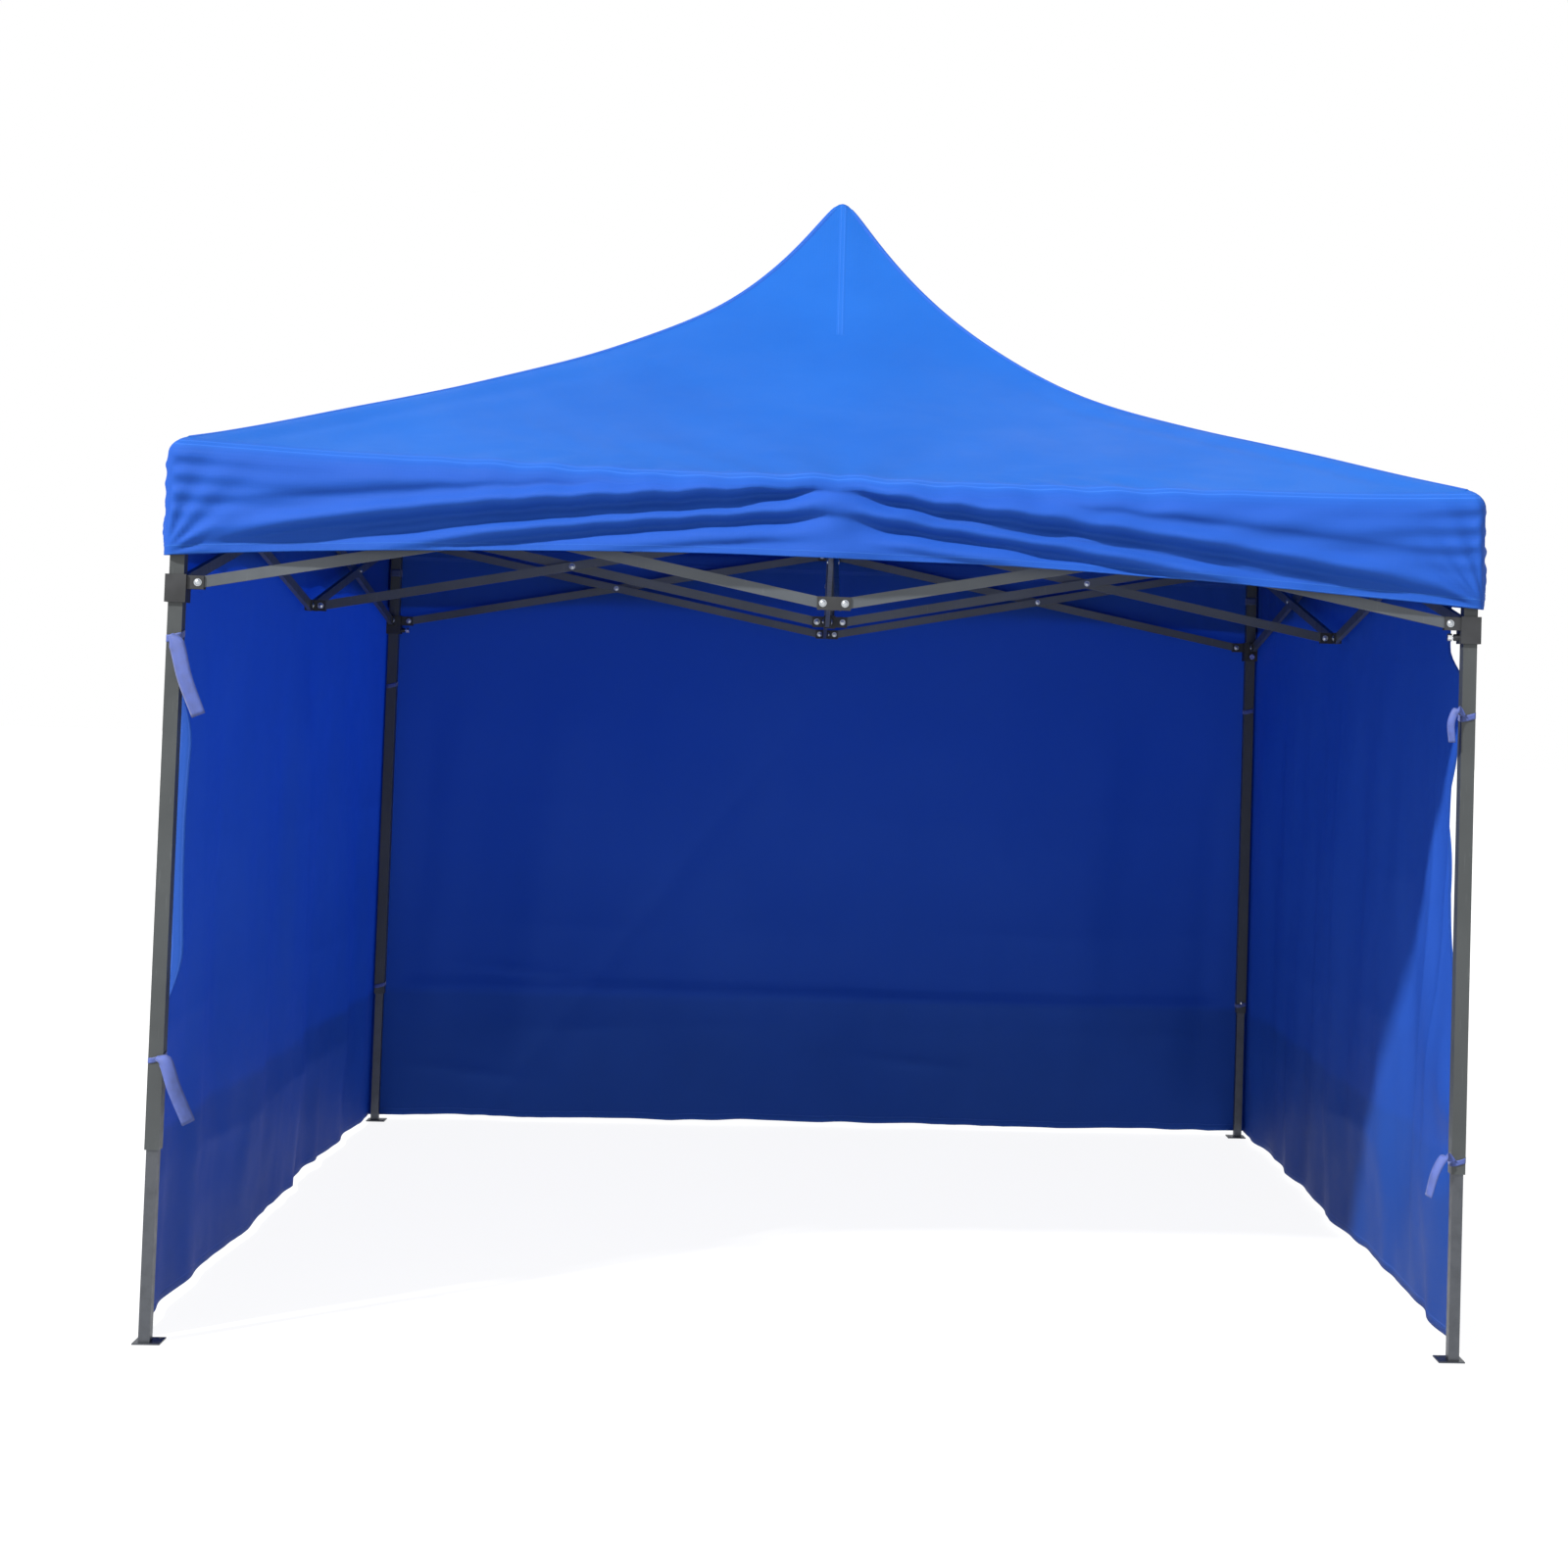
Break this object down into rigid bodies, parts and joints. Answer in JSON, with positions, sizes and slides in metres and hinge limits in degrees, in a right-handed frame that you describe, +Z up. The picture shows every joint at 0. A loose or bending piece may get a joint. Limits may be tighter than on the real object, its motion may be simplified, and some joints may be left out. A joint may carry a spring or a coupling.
{
  "type": "pop up gazebo",
  "caption": "Square pop-up gazebo with a folding scissor frame, telescopic legs, a peaked fabric canopy with a valance, and fabric walls on three sides.",
  "frame": {"origin": "centre of the object's footprint at ground level, under the mast", "axes": "+Z up; the open front faces -Y; +X to the right seen from the front"},
  "size_m": [2.96, 2.96, 2.854],
  "materials": {
    "canopy_fabric": "satin",
    "wall_fabric": "satin",
    "truss_steel": "satin",
    "leg_steel": "satin",
    "inner_leg_steel": "satin",
    "pin_steel": "gloss",
    "black_plastic": "matte"
  },
  "bodies": {
    "hub": {"hub_upper": "black_plastic", "canopy": "canopy_fabric", "wall_left": "wall_fabric", "wall_back": "wall_fabric", "wall_right": "wall_fabric"},
    "mast": {"mast": "leg_steel", "mast_cap": "black_plastic"},
    "hub_lower": {"hub_lower": "black_plastic"},
    "inner_bar_front_down": {"inner_bar_front_down": "truss_steel"},
    "inner_bar_front_up": {"inner_bar_front_up": "truss_steel"},
    "mid_top_front": {"mid_top_front": "black_plastic"},
    "mid_bottom_front": {"mid_bottom_front": "black_plastic"},
    "side_bar_front_left_down": {"side_bar_front_left_down": "truss_steel"},
    "side_bar_front_left_up": {"side_bar_front_left_up": "truss_steel"},
    "side_bar_front_right_down": {"side_bar_front_right_down": "truss_steel"},
    "side_bar_front_right_up": {"side_bar_front_right_up": "truss_steel"},
    "leg_front_right": {"outer_leg_front_right": "leg_steel", "corner_bracket_front_right": "black_plastic"},
    "inner_leg_front_right": {"inner_leg_front_right": "inner_leg_steel"},
    "slider_front_right": {"slider_front_right": "black_plastic"},
    "slider_pin_front_right": {"slider_pin_front_right": "pin_steel"},
    "inner_bar_right_down": {"inner_bar_right_down": "truss_steel"},
    "inner_bar_right_up": {"inner_bar_right_up": "truss_steel"},
    "mid_top_right": {"mid_top_right": "black_plastic"},
    "mid_bottom_right": {"mid_bottom_right": "black_plastic"},
    "side_bar_right_left_down": {"side_bar_right_left_down": "truss_steel"},
    "side_bar_right_left_up": {"side_bar_right_left_up": "truss_steel"},
    "side_bar_right_right_down": {"side_bar_right_right_down": "truss_steel"},
    "side_bar_right_right_up": {"side_bar_right_right_up": "truss_steel"},
    "leg_back_right": {"outer_leg_back_right": "leg_steel", "corner_bracket_back_right": "black_plastic"},
    "inner_leg_back_right": {"inner_leg_back_right": "inner_leg_steel"},
    "slider_back_right": {"slider_back_right": "black_plastic"},
    "slider_pin_back_right": {"slider_pin_back_right": "pin_steel"},
    "inner_bar_back_down": {"inner_bar_back_down": "truss_steel"},
    "inner_bar_back_up": {"inner_bar_back_up": "truss_steel"},
    "mid_top_back": {"mid_top_back": "black_plastic"},
    "mid_bottom_back": {"mid_bottom_back": "black_plastic"},
    "side_bar_back_left_down": {"side_bar_back_left_down": "truss_steel"},
    "side_bar_back_left_up": {"side_bar_back_left_up": "truss_steel"},
    "side_bar_back_right_down": {"side_bar_back_right_down": "truss_steel"},
    "side_bar_back_right_up": {"side_bar_back_right_up": "truss_steel"},
    "leg_back_left": {"outer_leg_back_left": "leg_steel", "corner_bracket_back_left": "black_plastic"},
    "inner_leg_back_left": {"inner_leg_back_left": "inner_leg_steel"},
    "slider_back_left": {"slider_back_left": "black_plastic"},
    "slider_pin_back_left": {"slider_pin_back_left": "pin_steel"},
    "inner_bar_left_down": {"inner_bar_left_down": "truss_steel"},
    "inner_bar_left_up": {"inner_bar_left_up": "truss_steel"},
    "mid_top_left": {"mid_top_left": "black_plastic"},
    "mid_bottom_left": {"mid_bottom_left": "black_plastic"},
    "side_bar_left_left_down": {"side_bar_left_left_down": "truss_steel"},
    "side_bar_left_left_up": {"side_bar_left_left_up": "truss_steel"},
    "side_bar_left_right_down": {"side_bar_left_right_down": "truss_steel"},
    "side_bar_left_right_up": {"side_bar_left_right_up": "truss_steel"},
    "leg_front_left": {"outer_leg_front_left": "leg_steel", "corner_bracket_front_left": "black_plastic"},
    "inner_leg_front_left": {"inner_leg_front_left": "inner_leg_steel"},
    "slider_front_left": {"slider_front_left": "black_plastic"},
    "slider_pin_front_left": {"slider_pin_front_left": "pin_steel"}
  },
  "joints": [
    {"name": "fold", "type": "hinge", "parent": "hub", "child": "inner_bar_front_down", "pos_m": [0.0065, -0.036, 1.93], "axis": [1, 0, 0], "range_deg": [0, 76]},
    {"name": "inner_bar_front_up_hinge", "type": "hinge", "parent": "inner_bar_front_down", "child": "inner_bar_front_up", "pos_m": [0, -0.725, 1.7975], "axis": [-1, 0, 0], "range_deg": [0, 152]},
    {"name": "mid_top_front_hinge", "type": "hinge", "parent": "inner_bar_front_up", "child": "mid_top_front", "pos_m": [-0.0065, -1.414, 1.93], "axis": [1, 0, 0], "range_deg": [0, 76]},
    {"name": "mid_bottom_front_hinge", "type": "hinge", "parent": "inner_bar_front_down", "child": "mid_bottom_front", "pos_m": [0.0065, -1.414, 1.665], "axis": [-1, 0, 0], "range_deg": [0, 76]},
    {"name": "hub_lower_hinge", "type": "hinge", "parent": "inner_bar_front_up", "child": "hub_lower", "pos_m": [-0.0065, -0.036, 1.665], "axis": [1, 0, 0], "range_deg": [0, 76]},
    {"name": "side_bar_front_left_down_hinge", "type": "hinge", "parent": "mid_top_front", "child": "side_bar_front_left_down", "pos_m": [-0.025, -1.4565, 1.93], "axis": [0, -1, 0], "range_deg": [0, 76]},
    {"name": "side_bar_front_left_up_hinge", "type": "hinge", "parent": "side_bar_front_left_down", "child": "side_bar_front_left_up", "pos_m": [-0.714, -1.45, 1.7975], "axis": [0, 1, 0], "range_deg": [0, 152]},
    {"name": "side_bar_front_right_down_hinge", "type": "hinge", "parent": "mid_top_front", "child": "side_bar_front_right_down", "pos_m": [0.025, -1.4565, 1.93], "axis": [0, 1, 0], "range_deg": [0, 76]},
    {"name": "side_bar_front_right_up_hinge", "type": "hinge", "parent": "side_bar_front_right_down", "child": "side_bar_front_right_up", "pos_m": [0.714, -1.45, 1.7975], "axis": [0, -1, 0], "range_deg": [0, 152]},
    {"name": "leg_front_right_hinge", "type": "hinge", "parent": "side_bar_front_right_up", "child": "leg_front_right", "pos_m": [1.403, -1.4435, 1.93], "axis": [0, 1, 0], "range_deg": [0, 76]},
    {"name": "slider_front_right_hinge", "type": "hinge", "parent": "side_bar_front_right_down", "child": "slider_front_right", "pos_m": [1.403, -1.4565, 1.665], "axis": [0, -1, 0], "range_deg": [0, 76]},
    {"name": "inner_leg_front_right_slide", "type": "slide", "parent": "leg_front_right", "child": "inner_leg_front_right", "axis": [0, 0, 1], "range_m": [0, 0.38]},
    {"name": "slider_pin_front_right_pull", "type": "slide", "parent": "slider_front_right", "child": "slider_pin_front_right", "axis": [-1, 0, 0], "range_m": [0, 0.01], "stiffness_N_per_m": 600, "springref_m": -0.003},
    {"name": "inner_bar_right_down_hinge", "type": "hinge", "parent": "hub", "child": "inner_bar_right_down", "pos_m": [0.036, 0.0065, 1.93], "axis": [0, 1, 0], "range_deg": [0, 76]},
    {"name": "inner_bar_right_up_hinge", "type": "hinge", "parent": "inner_bar_right_down", "child": "inner_bar_right_up", "pos_m": [0.725, 0, 1.7975], "axis": [0, -1, 0], "range_deg": [0, 152]},
    {"name": "mid_top_right_hinge", "type": "hinge", "parent": "inner_bar_right_up", "child": "mid_top_right", "pos_m": [1.414, -0.0065, 1.93], "axis": [0, 1, 0], "range_deg": [0, 76]},
    {"name": "mid_bottom_right_hinge", "type": "hinge", "parent": "inner_bar_right_down", "child": "mid_bottom_right", "pos_m": [1.414, 0.0065, 1.665], "axis": [0, -1, 0], "range_deg": [0, 76]},
    {"name": "side_bar_right_left_down_hinge", "type": "hinge", "parent": "mid_top_right", "child": "side_bar_right_left_down", "pos_m": [1.4565, -0.025, 1.93], "axis": [1, 0, 0], "range_deg": [0, 76]},
    {"name": "side_bar_right_left_up_hinge", "type": "hinge", "parent": "side_bar_right_left_down", "child": "side_bar_right_left_up", "pos_m": [1.45, -0.714, 1.7975], "axis": [-1, 0, 0], "range_deg": [0, 152]},
    {"name": "side_bar_right_right_down_hinge", "type": "hinge", "parent": "mid_top_right", "child": "side_bar_right_right_down", "pos_m": [1.4565, 0.025, 1.93], "axis": [-1, 0, 0], "range_deg": [0, 76]},
    {"name": "side_bar_right_right_up_hinge", "type": "hinge", "parent": "side_bar_right_right_down", "child": "side_bar_right_right_up", "pos_m": [1.45, 0.714, 1.7975], "axis": [1, 0, 0], "range_deg": [0, 152]},
    {"name": "leg_back_right_hinge", "type": "hinge", "parent": "side_bar_right_right_up", "child": "leg_back_right", "pos_m": [1.4435, 1.403, 1.93], "axis": [-1, 0, 0], "range_deg": [0, 76]},
    {"name": "slider_back_right_hinge", "type": "hinge", "parent": "side_bar_right_right_down", "child": "slider_back_right", "pos_m": [1.4565, 1.403, 1.665], "axis": [1, 0, 0], "range_deg": [0, 76]},
    {"name": "inner_leg_back_right_slide", "type": "slide", "parent": "leg_back_right", "child": "inner_leg_back_right", "axis": [0, 0, 1], "range_m": [0, 0.38]},
    {"name": "slider_pin_back_right_pull", "type": "slide", "parent": "slider_back_right", "child": "slider_pin_back_right", "axis": [0, -1, 0], "range_m": [0, 0.01], "stiffness_N_per_m": 600, "springref_m": -0.003},
    {"name": "inner_bar_back_down_hinge", "type": "hinge", "parent": "hub", "child": "inner_bar_back_down", "pos_m": [-0.0065, 0.036, 1.93], "axis": [-1, 0, 0], "range_deg": [0, 76]},
    {"name": "inner_bar_back_up_hinge", "type": "hinge", "parent": "inner_bar_back_down", "child": "inner_bar_back_up", "pos_m": [0, 0.725, 1.7975], "axis": [1, 0, 0], "range_deg": [0, 152]},
    {"name": "mid_top_back_hinge", "type": "hinge", "parent": "inner_bar_back_up", "child": "mid_top_back", "pos_m": [0.0065, 1.414, 1.93], "axis": [-1, 0, 0], "range_deg": [0, 76]},
    {"name": "mid_bottom_back_hinge", "type": "hinge", "parent": "inner_bar_back_down", "child": "mid_bottom_back", "pos_m": [-0.0065, 1.414, 1.665], "axis": [1, 0, 0], "range_deg": [0, 76]},
    {"name": "side_bar_back_left_down_hinge", "type": "hinge", "parent": "mid_top_back", "child": "side_bar_back_left_down", "pos_m": [0.025, 1.4565, 1.93], "axis": [0, 1, 0], "range_deg": [0, 76]},
    {"name": "side_bar_back_left_up_hinge", "type": "hinge", "parent": "side_bar_back_left_down", "child": "side_bar_back_left_up", "pos_m": [0.714, 1.45, 1.7975], "axis": [0, -1, 0], "range_deg": [0, 152]},
    {"name": "side_bar_back_right_down_hinge", "type": "hinge", "parent": "mid_top_back", "child": "side_bar_back_right_down", "pos_m": [-0.025, 1.4565, 1.93], "axis": [0, -1, 0], "range_deg": [0, 76]},
    {"name": "side_bar_back_right_up_hinge", "type": "hinge", "parent": "side_bar_back_right_down", "child": "side_bar_back_right_up", "pos_m": [-0.714, 1.45, 1.7975], "axis": [0, 1, 0], "range_deg": [0, 152]},
    {"name": "leg_back_left_hinge", "type": "hinge", "parent": "side_bar_back_right_up", "child": "leg_back_left", "pos_m": [-1.403, 1.4435, 1.93], "axis": [0, -1, 0], "range_deg": [0, 76]},
    {"name": "slider_back_left_hinge", "type": "hinge", "parent": "side_bar_back_right_down", "child": "slider_back_left", "pos_m": [-1.403, 1.4565, 1.665], "axis": [0, 1, 0], "range_deg": [0, 76]},
    {"name": "inner_leg_back_left_slide", "type": "slide", "parent": "leg_back_left", "child": "inner_leg_back_left", "axis": [0, 0, 1], "range_m": [0, 0.38]},
    {"name": "slider_pin_back_left_pull", "type": "slide", "parent": "slider_back_left", "child": "slider_pin_back_left", "axis": [1, 0, 0], "range_m": [0, 0.01], "stiffness_N_per_m": 600, "springref_m": -0.003},
    {"name": "inner_bar_left_down_hinge", "type": "hinge", "parent": "hub", "child": "inner_bar_left_down", "pos_m": [-0.036, -0.0065, 1.93], "axis": [0, -1, 0], "range_deg": [0, 76]},
    {"name": "inner_bar_left_up_hinge", "type": "hinge", "parent": "inner_bar_left_down", "child": "inner_bar_left_up", "pos_m": [-0.725, 0, 1.7975], "axis": [0, 1, 0], "range_deg": [0, 152]},
    {"name": "mid_top_left_hinge", "type": "hinge", "parent": "inner_bar_left_up", "child": "mid_top_left", "pos_m": [-1.414, 0.0065, 1.93], "axis": [0, -1, 0], "range_deg": [0, 76]},
    {"name": "mid_bottom_left_hinge", "type": "hinge", "parent": "inner_bar_left_down", "child": "mid_bottom_left", "pos_m": [-1.414, -0.0065, 1.665], "axis": [0, 1, 0], "range_deg": [0, 76]},
    {"name": "side_bar_left_left_down_hinge", "type": "hinge", "parent": "mid_top_left", "child": "side_bar_left_left_down", "pos_m": [-1.4565, 0.025, 1.93], "axis": [-1, 0, 0], "range_deg": [0, 76]},
    {"name": "side_bar_left_left_up_hinge", "type": "hinge", "parent": "side_bar_left_left_down", "child": "side_bar_left_left_up", "pos_m": [-1.45, 0.714, 1.7975], "axis": [1, 0, 0], "range_deg": [0, 152]},
    {"name": "side_bar_left_right_down_hinge", "type": "hinge", "parent": "mid_top_left", "child": "side_bar_left_right_down", "pos_m": [-1.4565, -0.025, 1.93], "axis": [1, 0, 0], "range_deg": [0, 76]},
    {"name": "side_bar_left_right_up_hinge", "type": "hinge", "parent": "side_bar_left_right_down", "child": "side_bar_left_right_up", "pos_m": [-1.45, -0.714, 1.7975], "axis": [-1, 0, 0], "range_deg": [0, 152]},
    {"name": "leg_front_left_hinge", "type": "hinge", "parent": "side_bar_left_right_up", "child": "leg_front_left", "pos_m": [-1.4435, -1.403, 1.93], "axis": [1, 0, 0], "range_deg": [0, 76]},
    {"name": "slider_front_left_hinge", "type": "hinge", "parent": "side_bar_left_right_down", "child": "slider_front_left", "pos_m": [-1.4565, -1.403, 1.665], "axis": [-1, 0, 0], "range_deg": [0, 76]},
    {"name": "inner_leg_front_left_slide", "type": "slide", "parent": "leg_front_left", "child": "inner_leg_front_left", "axis": [0, 0, 1], "range_m": [0, 0.38]},
    {"name": "slider_pin_front_left_pull", "type": "slide", "parent": "slider_front_left", "child": "slider_pin_front_left", "axis": [0, 1, 0], "range_m": [0, 0.01], "stiffness_N_per_m": 600, "springref_m": -0.003},
    {"name": "mast_slide", "type": "slide", "parent": "hub", "child": "mast", "axis": [0, 0, -1], "range_m": [0, 0.84]}
  ],
  "couplings": [
    {"joint": "inner_bar_front_up_hinge", "follows": "fold", "ratio": 2},
    {"joint": "mid_top_front_hinge", "follows": "fold", "ratio": 1},
    {"joint": "mid_bottom_front_hinge", "follows": "fold", "ratio": 1},
    {"joint": "hub_lower_hinge", "follows": "fold", "ratio": 1},
    {"joint": "side_bar_front_left_down_hinge", "follows": "fold", "ratio": 1},
    {"joint": "side_bar_front_left_up_hinge", "follows": "fold", "ratio": 2},
    {"joint": "side_bar_front_right_down_hinge", "follows": "fold", "ratio": 1},
    {"joint": "side_bar_front_right_up_hinge", "follows": "fold", "ratio": 2},
    {"joint": "leg_front_right_hinge", "follows": "fold", "ratio": 1},
    {"joint": "slider_front_right_hinge", "follows": "fold", "ratio": 1},
    {"joint": "inner_bar_right_down_hinge", "follows": "fold", "ratio": 1},
    {"joint": "inner_bar_right_up_hinge", "follows": "fold", "ratio": 2},
    {"joint": "mid_top_right_hinge", "follows": "fold", "ratio": 1},
    {"joint": "mid_bottom_right_hinge", "follows": "fold", "ratio": 1},
    {"joint": "side_bar_right_left_down_hinge", "follows": "fold", "ratio": 1},
    {"joint": "side_bar_right_left_up_hinge", "follows": "fold", "ratio": 2},
    {"joint": "side_bar_right_right_down_hinge", "follows": "fold", "ratio": 1},
    {"joint": "side_bar_right_right_up_hinge", "follows": "fold", "ratio": 2},
    {"joint": "leg_back_right_hinge", "follows": "fold", "ratio": 1},
    {"joint": "slider_back_right_hinge", "follows": "fold", "ratio": 1},
    {"joint": "inner_bar_back_down_hinge", "follows": "fold", "ratio": 1},
    {"joint": "inner_bar_back_up_hinge", "follows": "fold", "ratio": 2},
    {"joint": "mid_top_back_hinge", "follows": "fold", "ratio": 1},
    {"joint": "mid_bottom_back_hinge", "follows": "fold", "ratio": 1},
    {"joint": "side_bar_back_left_down_hinge", "follows": "fold", "ratio": 1},
    {"joint": "side_bar_back_left_up_hinge", "follows": "fold", "ratio": 2},
    {"joint": "side_bar_back_right_down_hinge", "follows": "fold", "ratio": 1},
    {"joint": "side_bar_back_right_up_hinge", "follows": "fold", "ratio": 2},
    {"joint": "leg_back_left_hinge", "follows": "fold", "ratio": 1},
    {"joint": "slider_back_left_hinge", "follows": "fold", "ratio": 1},
    {"joint": "inner_bar_left_down_hinge", "follows": "fold", "ratio": 1},
    {"joint": "inner_bar_left_up_hinge", "follows": "fold", "ratio": 2},
    {"joint": "mid_top_left_hinge", "follows": "fold", "ratio": 1},
    {"joint": "mid_bottom_left_hinge", "follows": "fold", "ratio": 1},
    {"joint": "side_bar_left_left_down_hinge", "follows": "fold", "ratio": 1},
    {"joint": "side_bar_left_left_up_hinge", "follows": "fold", "ratio": 2},
    {"joint": "side_bar_left_right_down_hinge", "follows": "fold", "ratio": 1},
    {"joint": "side_bar_left_right_up_hinge", "follows": "fold", "ratio": 2},
    {"joint": "leg_front_left_hinge", "follows": "fold", "ratio": 1},
    {"joint": "slider_front_left_hinge", "follows": "fold", "ratio": 1},
    {"joint": "mast_slide", "follows": "fold", "m_per_rad": 0.63327}
  ]
}
